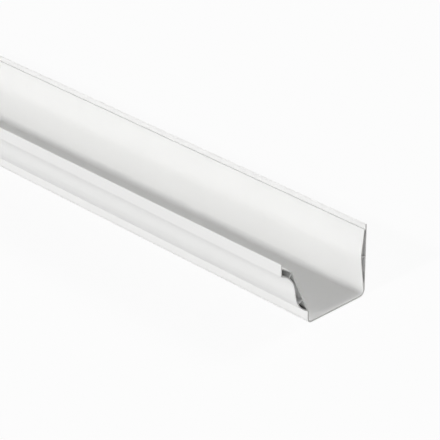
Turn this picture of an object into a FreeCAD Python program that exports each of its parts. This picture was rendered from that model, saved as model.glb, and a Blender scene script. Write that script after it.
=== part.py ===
import FreeCAD, Part
import math
import os

# Hollow-wall K-style rain gutter, one extruded length of rigid PVC.
# X runs along the gutter, -Y is the ogee front, +Y is the face that goes against the fascia board, Z is up.
# The origin is on the underside's plane, mid length and mid overall width.

# ---- driving sizes, millimetres and degrees ----
LENGTH = 3048.0          # ten feet, as sold
TOP_WIDTH = 127.0        # front of the lip to the fascia face: a five-inch gutter
OGEE_REACH = 40.2        # front of the lip to the front of the skirt
BACK_HEIGHT = 85.5       # top of the back strip
LIP_HEIGHT = 85.1        # top of the front lip
LIP_FACE = 13.8          # height of the lip's flat front
LIP_UPSTAND = 3.9        # what the lip stands above the root of the flange behind it
SKIRT_HEIGHT = 15.0      # upright band under the ogee

WALL = 2.0               # bottom, skirt and back strip, where the wall is single
SKIN = 1.2               # each skin of the hollow stretches, and the lip, which is the outer one carried on up
RIB = 1.0                # webs between the two skins

# ogee front: a cove under the lip and an ovolo over the skirt, joined by a leaning flank
COVE_SLOPE = 27.0        # fall of the face where it leaves the lip
COVE_RADIUS = 28.0
FLANK_REACH = 19.3       # the flank stands this far in front of the skirt, halfway up the ogee
FLANK_LEAN = 8.0         # from upright
OVOLO_RADIUS = 31.0
OVOLO_SLOPE = 31.0       # fall of the face where it meets the skirt

# channel side of the front wall
FLANGE_SLOPE = 34.0      # fall of the flange behind the lip
FRONT_NECK = 4.6         # the hollow wall at its thinnest, behind the cove
SKIN_LAP = 1.5           # the inner skin runs into the skirt this far below its top
FRONT_WEB = 32.6         # height of the lower web on the inner skin; the upper one runs from the flange's edge to the cove

# channel side of the back wall
BACK_STRIP = 6.0         # single strip above the ledge
LEDGE_DEPTH = 1.5        # ledge under the strip
BACK_BULGE = 7.6         # thickness at the crease, where the web is
BACK_CREASE = 47.0       # height of that crease

# rounded corners
BACK_CORNER = 7.5        # outside of the bend at the foot of the back wall
FRONT_CORNER = 6.0       # outside of the bend at the foot of the skirt
CREASE_RADIUS = 40.0     # soft crease of the back wall
SOFT_CORNER = 1.0        # lip, flange and skirt corners
EDGE = 0.8               # free top edges of the lip and the back strip
NOSE = 0.3               # edge of the ledge
CELL_CORNER = 0.4        # inside corners of the cells

# ---- places worked out from them ----
FASCIA_Y = TOP_WIDTH / 2
LIP_Y = -TOP_WIDTH / 2
SKIRT_Y = LIP_Y + OGEE_REACH
LIP_FOOT = LIP_HEIGHT - LIP_FACE
LEDGE_Z = BACK_HEIGHT - BACK_STRIP


def point(y, z):
    return FreeCAD.Vector(0.0, y, z)


def heading(degrees):
    """Unit direction in the section, measured from +Y towards +Z."""
    angle = math.radians(degrees)
    return point(math.cos(angle), math.sin(angle))


def meet(start, direction, other, other_direction):
    """Where two lines cross, each given by a point and a direction."""
    gap = other - start
    cross = direction.y * other_direction.z - direction.z * other_direction.y
    along = (gap.y * other_direction.z - gap.z * other_direction.y) / cross
    return start + direction * along


def arc_centre(before, corner, after, radius):
    """Centre of the arc that rounds a corner between two runs."""
    inward = (before - corner).normalize()
    onward = (after - corner).normalize()
    half = inward.getAngle(onward) / 2
    return corner + (inward + onward).normalize() * (radius / math.sin(half))


def past_circle(start, centre, radius):
    """Unit direction from a point that just passes a circle, with the circle on the left."""
    to_centre = centre - start
    aim = math.atan2(to_centre.z, to_centre.y) - math.asin(radius / to_centre.Length)
    return heading(math.degrees(aim))


def roundings(corners):
    """How much of its runs each corner's arc takes, less where two arcs would run into each other."""
    places = [place for place, radius in corners]
    taken = []
    for i, (place, radius) in enumerate(corners):
        turn = (place - places[i - 1]).getAngle(places[(i + 1) % len(places)] - place)
        taken.append(radius * math.tan(turn / 2))
    for i, place in enumerate(places):
        run = (place - places[i - 1]).Length
        share = min(1.0, run / max(taken[i] + taken[i - 1], run))
        taken[i] *= share
        taken[i - 1] *= share
    return taken


def rounded_face(corners):
    """Flat face inside a closed outline of (place, radius) corners."""
    places = [place for place, radius in corners]
    edges = []
    ends = []
    for i, (place, taken) in enumerate(zip(places, roundings(corners))):
        before = places[i - 1]
        after = places[(i + 1) % len(places)]
        inward = (before - place).normalize()
        onward = (after - place).normalize()
        begin = place + inward * taken
        end = place + onward * taken
        ends.append((begin, end))
        if taken > 0:
            radius = taken * math.tan(inward.getAngle(onward) / 2)
            centre = arc_centre(before, place, after, radius)
            middle = centre + (place - centre).normalize() * radius
            edges.append(Part.Arc(begin, middle, end).toShape())
    for i, (begin, end) in enumerate(ends):
        if ends[i - 1][1].distanceToPoint(begin) > 1e-6:
            edges.append(Part.LineSegment(ends[i - 1][1], begin).toShape())
    return Part.Face(Part.Wire(Part.__sortEdges__(edges)))


def ogee():
    """Foot on the skirt, corner of the ovolo, corner of the cove, and top under the lip."""
    foot = point(SKIRT_Y, SKIRT_HEIGHT)
    top = point(LIP_Y, LIP_FOOT)
    flank = point(SKIRT_Y - FLANK_REACH, (SKIRT_HEIGHT + LIP_FOOT) / 2)
    up_flank = heading(90 + FLANK_LEAN)
    ovolo = meet(foot, heading(180 - OVOLO_SLOPE), flank, up_flank)
    cove = meet(top, heading(-COVE_SLOPE), flank, up_flank)
    return foot, ovolo, cove, top


def front_skin():
    """Root of the flange behind the lip, edge where the flange turns down, and foot on the skirt."""
    root = point(LIP_Y + SKIN, LIP_HEIGHT - LIP_UPSTAND)
    foot = point(SKIRT_Y + WALL, SKIRT_HEIGHT - SKIN_LAP)
    skirt_top, ovolo, cove, lip_foot = ogee()
    centre = arc_centre(ovolo, cove, lip_foot, COVE_RADIUS)
    up_skin = past_circle(foot, centre, COVE_RADIUS + FRONT_NECK)
    edge = meet(root, heading(-FLANGE_SLOPE), foot, up_skin)
    return root, edge, foot


def back_skin():
    """Nose of the ledge, crease, bend where the wall is single again, and foot in the floor."""
    ledge = point(FASCIA_Y - WALL - LEDGE_DEPTH, LEDGE_Z)
    crease = point(FASCIA_Y - BACK_BULGE, BACK_CREASE)
    bend = point(FASCIA_Y - WALL, BACK_CORNER)
    foot = meet(crease, bend - crease, point(0, WALL), heading(0))
    return ledge, crease, bend, foot


def section_outline():
    """The section with its hollows filled: underside, back strip, channel, lip and ogee front."""
    flange_root, flange_edge, skin_foot = front_skin()
    ledge, crease, bend, back_foot = back_skin()
    skirt_top, ovolo, cove, lip_foot = ogee()
    underside = [(point(SKIRT_Y, 0), FRONT_CORNER), (point(FASCIA_Y, 0), BACK_CORNER)]
    strip = [(point(FASCIA_Y, BACK_HEIGHT), EDGE), (point(FASCIA_Y - WALL, BACK_HEIGHT), EDGE),
             (point(FASCIA_Y - WALL, LEDGE_Z), 0), (ledge, NOSE)]
    floor = [(crease, CREASE_RADIUS), (back_foot, max(BACK_CORNER - WALL, 0)),
             (point(SKIRT_Y + WALL, WALL), max(FRONT_CORNER - WALL, 0))]
    flange = [(skin_foot, SOFT_CORNER), (flange_edge, SOFT_CORNER), (flange_root, 0)]
    lip = [(point(LIP_Y + SKIN, LIP_HEIGHT), EDGE), (point(LIP_Y, LIP_HEIGHT), EDGE), (lip_foot, SOFT_CORNER)]
    front = [(cove, COVE_RADIUS), (ovolo, OVOLO_RADIUS), (skirt_top, SOFT_CORNER)]
    return rounded_face(underside + strip + floor + flange + lip + front)


def web(start, direction):
    """Strip one rib thick that crosses a hollow from the channel side of its wall."""
    side = point(-direction.z, direction.y) * (RIB / 2)
    far = start + direction * TOP_WIDTH
    return Part.Face(Part.makePolygon([start + side, far + side, far - side, start - side, start + side]))


def cells(wall, webs):
    """The cells inside a hollow wall: one skin in from its faces, parted by webs, corners rounded."""
    hollow = wall.makeOffset2D(-SKIN, join=2)
    found = []
    for cell in hollow.cut(Part.makeCompound(webs)).Faces:
        found += cell.makeOffset2D(-CELL_CORNER, join=2).makeOffset2D(CELL_CORNER, join=0).Faces
    return found


def front_cells():
    """Three cells: under the flange, along the flank, and above the skirt."""
    root, edge, foot = front_skin()
    skirt_top, ovolo, cove, lip_foot = ogee()
    lip_side = meet(root, edge - root, lip_foot, heading(90))
    wall = rounded_face([(foot, 0), (edge, 0), (lip_side, 0), (lip_foot, 0),
                         (cove, COVE_RADIUS), (ovolo, OVOLO_RADIUS), (skirt_top, 0)])
    cove_centre = arc_centre(ovolo, cove, lip_foot, COVE_RADIUS)
    towards_cove = (cove_centre - edge).normalize()
    down = (foot - edge).normalize()
    across = point(down.z, -down.y)
    lower = meet(edge, down, point(0, FRONT_WEB), heading(0))
    return cells(wall, [web(edge + down * RIB, towards_cove), web(lower, across)])


def back_cells():
    """Two cells, above and below the web at the crease."""
    ledge, crease, bend, foot = back_skin()
    wall = rounded_face([(point(FASCIA_Y, bend.z), 0), (point(FASCIA_Y, ledge.z), 0),
                         (ledge, 0), (crease, CREASE_RADIUS), (bend, 0)])
    return cells(wall, [web(crease, heading(0))])


def gutter():
    section = section_outline().cut(Part.makeCompound(front_cells() + back_cells()))
    section.translate(FreeCAD.Vector(-LENGTH / 2, 0, 0))
    return section.Faces[0].extrude(FreeCAD.Vector(LENGTH, 0, 0))


os.makedirs("parts", exist_ok=True)
solid = gutter()
solid.exportStep("parts/gutter_section.step")
box = solid.BoundBox
print("gutter_section", solid.ShapeType, "valid", solid.isValid(), "faces", len(solid.Faces))
print("box", [round(v, 2) for v in (box.XLength, box.YLength, box.ZLength)], "from z", round(box.ZMin, 3))
print("volume", round(solid.Volume / 1000, 1), "cm3, cells", len(front_cells()), "+", len(back_cells()))
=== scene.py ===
# %% [markdown]
# # A length of white vinyl gutter
#
# This lesson dresses one piece of stock: a ten-foot length of house gutter, extruded in white rigid
# PVC and sawn square at both ends. Rain runs off the roof into the open channel, the flat back goes
# against the fascia board, and the curved front is the ogee that people see from the street. Both
# long walls are hollow, two thin skins tied by ribs, which only the sawn end gives away.
#
# The shape is already exact in the CAD frame. What is left for Blender is what the eye reads on plain
# white plastic: how it is lit, how it shines, and how a sawn face differs from an extruded one.

# %% Load the fixed frame
import math

import bpy
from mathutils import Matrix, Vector


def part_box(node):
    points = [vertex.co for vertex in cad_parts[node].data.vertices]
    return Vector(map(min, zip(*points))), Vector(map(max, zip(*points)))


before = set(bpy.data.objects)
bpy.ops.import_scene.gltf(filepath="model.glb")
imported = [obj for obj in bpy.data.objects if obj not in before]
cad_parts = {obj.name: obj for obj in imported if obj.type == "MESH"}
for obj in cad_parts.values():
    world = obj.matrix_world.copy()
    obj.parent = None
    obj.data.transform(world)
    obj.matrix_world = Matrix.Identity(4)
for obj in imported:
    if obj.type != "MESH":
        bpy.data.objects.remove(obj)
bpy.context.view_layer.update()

GUTTER = "gutter_section"
MM = 0.001
low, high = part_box(GUTTER)
print("the gutter is", [round((b - a) / MM, 1) for a, b in zip(low, high)], "mm long, wide and high")

# %% [markdown]
# ## Helpers for materials
#
# A colour is chosen on a screen, as a hex value, but a shader works with the amount of light,
# which is linear, so the first function turns one into the other. The second adds a node together with
# its settings and its links. With it a material reads from top to bottom as a short list of steps. The
# third hands over an empty node tree to start from.

# %% Colour and node helpers
def linear(hex_colour):
    """An sRGB hex colour as the linear RGBA that a shader works with."""
    parts = [int(hex_colour[i : i + 2], 16) / 255 for i in (1, 3, 5)]
    return [p / 12.92 if p <= 0.04045 else ((p + 0.055) / 1.055) ** 2.4 for p in parts] + [1]


def add_node(tree, kind, settings=None, values=None, links=None):
    """A node of that kind; values and links go to its inputs by name or number."""
    node = tree.nodes.new(kind)
    for name, value in (settings or {}).items():
        setattr(node, name, value)
    for name, value in (values or {}).items():
        node.inputs[name].default_value = value
    for name, source in (links or {}).items():
        tree.links.new(source, node.inputs[name])
    return node


def empty_tree(owner):
    """The node tree of a material or a world, with nothing in it."""
    owner.use_nodes = True
    owner.node_tree.nodes.clear()
    return owner.node_tree


print("a mid grey on the screen reflects", round(linear("#808080")[0], 3), "of the light")

# %% [markdown]
# ## Rigid PVC, as it leaves the die
#
# The plastic is rigid PVC, filled with titanium white so that it neither yellows nor lets light
# through. It is pushed through a steel die, and the die leaves a satin skin with very faint straight
# lines along the length. The eye takes them for a soft, stretched sheen, never for stripes.
#
# One Principled shader does this. Its colour is a white a little short of pure, its IOR is that of
# PVC, and its roughness is that of a satin skin. The die lines are a noise in the bump: about one
# millimetre wide round the section and some hundreds of millimetres long. Real ones are finer, but
# would be lost at this distance, so they are drawn as coarse as they need to be.
#
# The sawn ends belong to the same piece of plastic, so they are in the same material. A mask reads
# how far along X a point is, and turns the finish into that of a sawn face in the last hundredth of a
# millimetre. A sawn face is torn on a fine scale, so it is duller than the skin, and the blade leaves
# marks on it about one and a half millimetres apart. Its white is a little darker too, partly for the
# torn face and partly as painted shade that keeps the ends dim.
#
# Painted shade makes the white a tone darker in tight inside corners, such as the one under the back
# strip, where shade gathers. It reaches three millimetres out of the corner, wider than the real
# shade, because less would not show at this distance.

# %% Sizes of the patterns, and the mask of the sawn ends
# The second white is painted shade for tight inside corners; the third, for the sawn ends, is partly
# painted shade.
WHITE, CORNER_SHADE_WHITE, SAWN_SHADED_WHITE = "#F3F3F2", "#C1C1C0", "#D6D6D3"
SATIN, DULL = 0.35, 0.7  # roughness of the skin and of a sawn face
DIE_LINE = (360, 1.2, 1.2)  # one line of the die, in mm along X, Y and Z
DIE_DEPTH = 0.02 * MM
SAW_MARK = (1.5, 30, 1.5)
SAW_DEPTH = 0.3 * MM
CUT = 0.01 * MM  # how far into the piece the sawn finish reaches
# How far the painted corner shade reaches, and the shares of open air where it is darkest and where it
# ends.
CORNER_SHADE_REACH = 3 * MM
FULL_SHADE_AIR, NO_SHADE_AIR = 0.4, 0.75  # shares of open air


def noise(tree, grain, detail):
    """A noise whose grains have that size in millimetres, along each axis of the object."""
    place = add_node(tree, "ShaderNodeTexCoord")
    counted = add_node(tree, "ShaderNodeMapping", values={"Scale": [1 / (MM * size) for size in grain]},
                       links={"Vector": place.outputs["Object"]})
    return add_node(tree, "ShaderNodeTexNoise", values={"Scale": 1.0, "Detail": detail},
                    links={"Vector": counted.outputs["Vector"]}).outputs[0]


def sawn_mask(tree):
    """One on the two sawn ends and nought on the extruded skin."""
    place = add_node(tree, "ShaderNodeTexCoord")
    split = add_node(tree, "ShaderNodeSeparateXYZ", links={"Vector": place.outputs["Object"]})
    along = add_node(tree, "ShaderNodeMath", {"operation": "ABSOLUTE"}, links={0: split.outputs["X"]})
    return add_node(tree, "ShaderNodeMath", {"operation": "GREATER_THAN"},
                    {1: high.x - CUT}, {0: along.outputs[0]}).outputs[0]


print("the vinyl's white reflects", [round(c, 3) for c in linear(WHITE)[:3]], "of the light")
print("a die line is", DIE_LINE[1], "mm wide, a saw mark", SAW_MARK[2], "mm")

# %% [markdown]
# The relief and the colour come from a function each, and both take the sawn mask. The painted corner
# shade follows from how much open air a point has within reach. A flat face has all of it and is not
# shaded. A square inside corner has half, and below four tenths the painted shade is at its darkest.

# %% Relief, colour and finish
def pvc_relief(tree, sawn):
    """Die lines on the skin and saw marks on the ends, as a bumped normal."""
    height = add_node(tree, "ShaderNodeMix", {"data_type": "FLOAT"}, links={
        "Factor": sawn, 2: noise(tree, DIE_LINE, 1.0), 3: noise(tree, SAW_MARK, 3.0)})
    depth = add_node(tree, "ShaderNodeMapRange", values={"To Min": DIE_DEPTH, "To Max": SAW_DEPTH},
                     links={"Value": sawn})
    return add_node(tree, "ShaderNodeBump", values={"Strength": 1.0}, links={
        "Height": height.outputs[0], "Distance": depth.outputs[0]}).outputs[0]


def pvc_colour(tree, sawn):
    """White, with painted shade a tone darker in tight inside corners, and darker on the sawn ends,
    partly as painted shade.
    """
    # Painted shade: the occlusion node darkens the white in tight inside corners.
    air = add_node(tree, "ShaderNodeAmbientOcclusion", {"samples": 16, "only_local": True},
                   {"Distance": CORNER_SHADE_REACH})
    unshaded = add_node(tree, "ShaderNodeMapRange", values={"From Min": FULL_SHADE_AIR, "From Max": NO_SHADE_AIR},
                     links={"Value": air.outputs["AO"]})
    skin = add_node(tree, "ShaderNodeMix", {"data_type": "RGBA"},
                    {6: linear(CORNER_SHADE_WHITE), 7: linear(WHITE)}, {"Factor": unshaded.outputs[0]})
    # The sawn ends take a darker white, partly painted shade.
    return add_node(tree, "ShaderNodeMix", {"data_type": "RGBA"}, {7: linear(SAWN_SHADED_WHITE)},
                    {"Factor": sawn, 6: skin.outputs[2]}).outputs[2]


def extruded_pvc():
    material = bpy.data.materials.new("rigid_pvc_extruded")
    tree = empty_tree(material)
    sawn = sawn_mask(tree)
    roughness = add_node(tree, "ShaderNodeMapRange", values={"To Min": SATIN, "To Max": DULL},
                         links={"Value": sawn})
    pvc = add_node(tree, "ShaderNodeBsdfPrincipled", values={"IOR": 1.53}, links={
        "Base Color": pvc_colour(tree, sawn), "Roughness": roughness.outputs[0],
        "Normal": pvc_relief(tree, sawn)})
    add_node(tree, "ShaderNodeOutputMaterial", links={"Surface": pvc.outputs["BSDF"]})
    return material


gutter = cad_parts[GUTTER]
gutter.data.materials.clear()
gutter.data.materials.append(extruded_pvc())
print(gutter.name, "wears", gutter.material_slots[0].material.name)

# %% [markdown]
# ## The camera
#
# A long lens from well back keeps the long edges nearly parallel, as in a catalogue. The camera looks
# down on the near sawn end from the front corner, so that one view takes in the ogee, the lip, the
# channel and the cells inside the walls. The gutter runs out of the frame: its far end is just the
# same square cut.

# %% Camera
VIEW = (45.805, 28.061)  # azimuth and elevation, in degrees
FROM_NEAR_END = 169.8 * MM  # how far in from the near end the camera aims
BEHIND_AXIS = 15.5 * MM
DISTANCE = 2.6115
LENS = 197.52


def towards(azimuth, elevation):
    """The unit vector from the object to what is seen at that azimuth and elevation, in degrees."""
    turn, rise = math.radians(azimuth), math.radians(elevation)
    return Vector((math.sin(turn) * math.cos(rise), -math.cos(turn) * math.cos(rise), math.sin(rise)))


aim = Vector((high.x - FROM_NEAR_END, BEHIND_AXIS, (low.z + high.z) / 2))
line_of_sight = towards(*VIEW)
camera = bpy.data.objects.new("camera", bpy.data.cameras.new("camera"))
camera.data.lens = LENS
camera.data.sensor_width = 36
camera.location = aim + line_of_sight * DISTANCE
camera.rotation_euler = line_of_sight.to_track_quat("Z", "Y").to_euler()
bpy.context.scene.collection.objects.link(camera)
bpy.context.scene.camera = camera
print("camera at", [round(c, 2) for c in camera.location], "m with a", LENS, "mm lens")

# %% [markdown]
# ## White table, white room
#
# White plastic on white is the usual catalogue setting. If lamps made the background white, they would
# burn out the gutter too. So the table and the room only look white: where a camera ray, a mirror ray
# or a glass ray meets them, they glow at full white, and every other ray finds an ordinary pale table
# that bounces light up and takes the gutter's shadow. A small share of the ordinary table stays in
# view, so that the shadow shows and the gutter lies on something.

# %% Table and room
TABLE_SIZE = 30
GLOW_SHARE = 0.93  # the rest of the table's face is the plain laminate with its shadow
SKY_LIGHT = 0.1  # what the room gives to the object and the table


def seen_directly(tree):
    """One where the ray comes from the camera, a reflection or a clear body, otherwise nought."""
    ray = add_node(tree, "ShaderNodeLightPath").outputs
    mirror = add_node(tree, "ShaderNodeMath", {"operation": "MAXIMUM"},
                      links={0: ray["Is Camera Ray"], 1: ray["Is Glossy Ray"]})
    return add_node(tree, "ShaderNodeMath", {"operation": "MAXIMUM"},
                    links={0: mirror.outputs[0], 1: ray["Is Transmission Ray"]}).outputs[0]


def white_table():
    material = bpy.data.materials.new("white_table_laminate")
    tree = empty_tree(material)
    laminate = add_node(tree, "ShaderNodeBsdfDiffuse", values={"Color": linear("#DADADA")})
    glow = add_node(tree, "ShaderNodeEmission", values={"Color": (1, 1, 1, 1), "Strength": 1.0})
    share = add_node(tree, "ShaderNodeMath", {"operation": "MULTIPLY"}, {1: GLOW_SHARE},
                     {0: seen_directly(tree)})
    mix = add_node(tree, "ShaderNodeMixShader",
                   links={0: share.outputs[0], 1: laminate.outputs[0], 2: glow.outputs[0]})
    add_node(tree, "ShaderNodeOutputMaterial", links={"Surface": mix.outputs[0]})
    return material


bpy.ops.object.select_all(action="DESELECT")
bpy.ops.mesh.primitive_plane_add(size=TABLE_SIZE, location=(0, 0, low.z))
table = bpy.context.object
table.name = "table"
table.data.materials.append(white_table())

room = bpy.data.worlds.new("room")
bpy.context.scene.world = room
tree = empty_tree(room)
strength = add_node(tree, "ShaderNodeMapRange", values={"To Min": SKY_LIGHT, "To Max": 1.0},
                    links={"Value": seen_directly(tree)})
air = add_node(tree, "ShaderNodeBackground", values={"Color": (1, 1, 1, 1)},
               links={"Strength": strength.outputs[0]})
add_node(tree, "ShaderNodeOutputWorld", links={"Surface": air.outputs[0]})
print(table.name, "wears", table.material_slots[0].material.name, "and the room gives", SKY_LIGHT)

# %% [markdown]
# ## Lamps
#
# Each lamp is a sun, so its light is even along the whole length. A share of 1 would show a white card
# that faces the lamp at its own colour. The key stands in front, and just high enough for the lip's
# shadow to end at the foot of the back wall. The wall is bright, the floor under it stays grey, and so
# the eye sees that the channel is deep. The key's small disc keeps that line crisp.
#
# Two low lamps with wider discs soften the ogee's shadows. Two more behind light the top edges, the
# back and the table, and stay modest, because a stronger pair burns the back out to white.

# %% Soft lamps
LAMPS = {
    "key_in_front": (0, 32.8, 5, 0.54),
    "low_in_front": (0, 20, 20, 0.08),
    "low_at_the_camera": (45, 10, 20, 0.06),
    "behind": (180, 45, 20, 0.40),
    "behind_near_end": (135, 45, 50, 0.23),
}
for name, (azimuth, elevation, disc, share) in LAMPS.items():
    lamp = bpy.data.objects.new(name, bpy.data.lights.new(name, "SUN"))
    lamp.data.energy = math.pi * share
    lamp.data.angle = math.radians(disc)
    lamp.rotation_euler = towards(azimuth, elevation).to_track_quat("Z", "Y").to_euler()
    bpy.context.scene.collection.objects.link(lamp)
    print(name, "at azimuth", azimuth, "and elevation", elevation, "gives", share)

# %% [markdown]
# ## Finish
#
# The Standard view shows each colour about as it was written.

# %% View
bpy.context.scene.view_settings.view_transform = "Standard"
